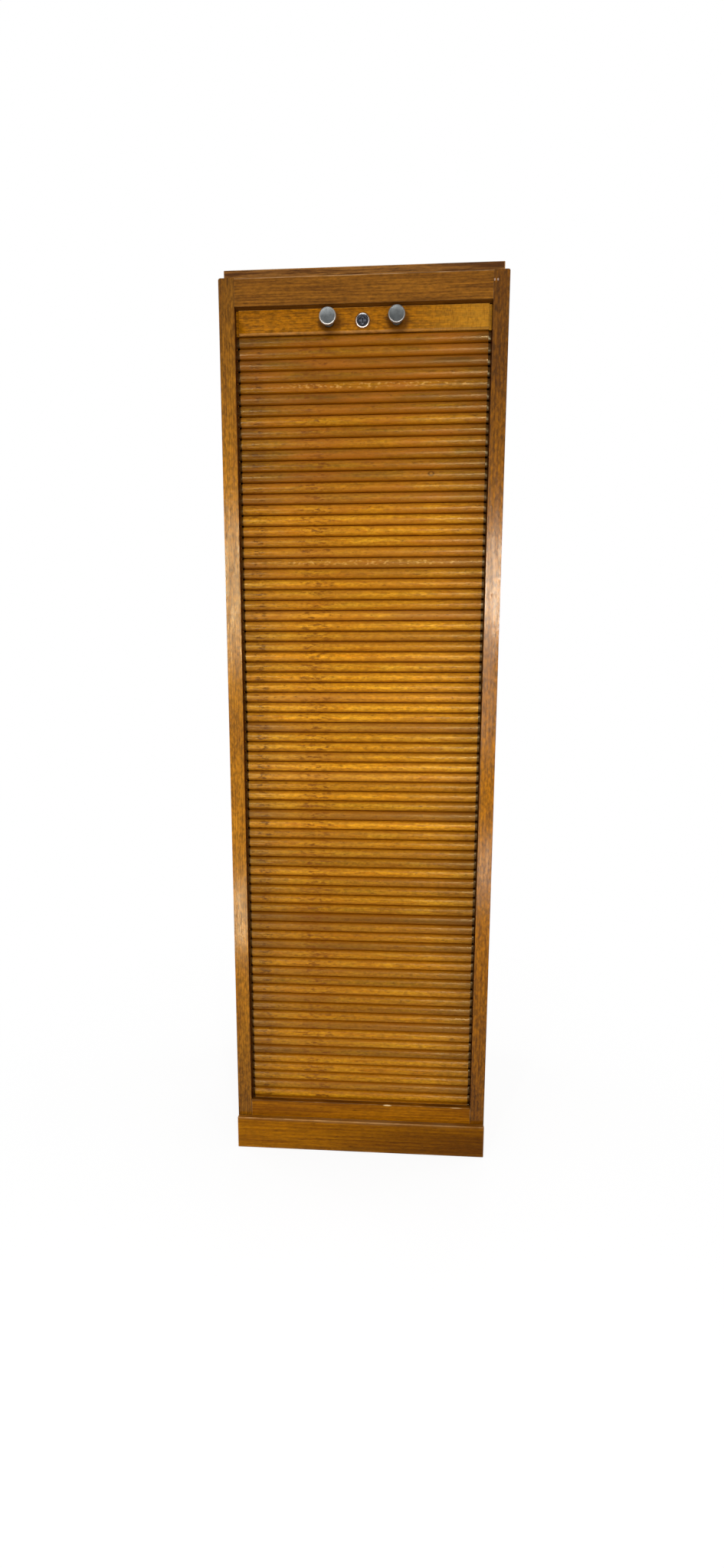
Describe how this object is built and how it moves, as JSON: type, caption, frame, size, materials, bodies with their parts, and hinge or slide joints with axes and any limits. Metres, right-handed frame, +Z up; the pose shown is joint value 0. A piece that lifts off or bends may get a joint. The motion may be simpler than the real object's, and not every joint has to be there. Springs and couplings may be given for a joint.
{
  "type": "tambour door cabinet",
  "caption": "Tall narrow wooden filing cabinet with a vertical roll shutter of half-round slats, a lead rail with round knobs and a hook lock, and shelves inside.",
  "frame": {"origin": "middle of the cabinet's footprint, on the ground", "axes": "+Z up, the shutter faces -Y, +X to the right of someone facing it"},
  "size_m": [0.48, 0.4, 1.589],
  "materials": {
    "frame_oak": "honey varnished oak, satin gloss",
    "header_oak": "varnished oak, duller",
    "lead_oak": "golden varnished oak",
    "slat_oak": "golden varnished oak, glossy",
    "top_oak": "reddish varnished oak with dark grain",
    "side_oak": "varnished oak, satin",
    "inside_oak": "lightly sealed oak",
    "plywood": "unvarnished plywood",
    "canvas": "coarse glued canvas",
    "knob_metal": "turned, brushed",
    "collar_metal": "nickel plated",
    "plug_metal": "dark, worn",
    "steel": "plain steel"
  },
  "bodies": {
    "case": {"left_front_stile": "frame_oak", "left_rear_stile": "side_oak", "left_top_rail": "side_oak", "left_middle_rail": "side_oak", "left_bottom_rail": "side_oak", "left_upper_panel": "side_oak", "left_lower_panel": "side_oak", "right_front_stile": "frame_oak", "right_rear_stile": "side_oak", "right_top_rail": "side_oak", "right_middle_rail": "side_oak", "right_bottom_rail": "side_oak", "right_upper_panel": "side_oak", "right_lower_panel": "side_oak", "plinth_board": "frame_oak", "sill_rail": "frame_oak", "header_rail": "header_oak", "top_board": "top_oak", "strike_plate": "steel", "strike_screw_left": "steel", "strike_screw_right": "steel", "floor_panel": "inside_oak", "false_back": "plywood", "shelf_1": "inside_oak", "shelf_2": "inside_oak", "shelf_3": "inside_oak", "shelf_4": "inside_oak", "shelf_5": "inside_oak", "cleat_1_left": "inside_oak", "cleat_1_right": "inside_oak", "cleat_2_left": "inside_oak", "cleat_2_right": "inside_oak", "cleat_3_left": "inside_oak", "cleat_3_right": "inside_oak", "cleat_4_left": "inside_oak", "cleat_4_right": "inside_oak", "cleat_5_left": "inside_oak", "cleat_5_right": "inside_oak", "rear_top_rail": "inside_oak", "rear_middle_rail": "inside_oak", "rear_bottom_rail": "inside_oak", "back_upper_panel": "plywood", "back_lower_panel": "plywood"},
    "shutter": {"slat_curtain": "slat_oak", "canvas_backing": "canvas", "canvas_batten": "inside_oak", "lead_rail": "lead_oak", "knob_left": "knob_metal", "knob_right": "knob_metal", "knob_screw_left": "steel", "knob_screw_right": "steel", "lock_collar": "collar_metal", "lock_case": "steel", "lock_screw_left": "steel", "lock_screw_right": "steel"},
    "lock": {"lock_plug": "plug_metal", "lock_hook": "steel", "lock_hook_screw": "steel"}
  },
  "joints": [
    {"name": "shutter_slide", "type": "slide", "parent": "case", "child": "shutter", "axis": [0, 0, -1], "range_m": [0, 1.39], "deforming": ["slat_curtain", "canvas_backing"]},
    {"name": "lock_turn", "type": "hinge", "parent": "shutter", "child": "lock", "pos_m": [0, -0.17, 1.5063], "axis": [0, 1, 0], "range_deg": [0, 90]}
  ]
}
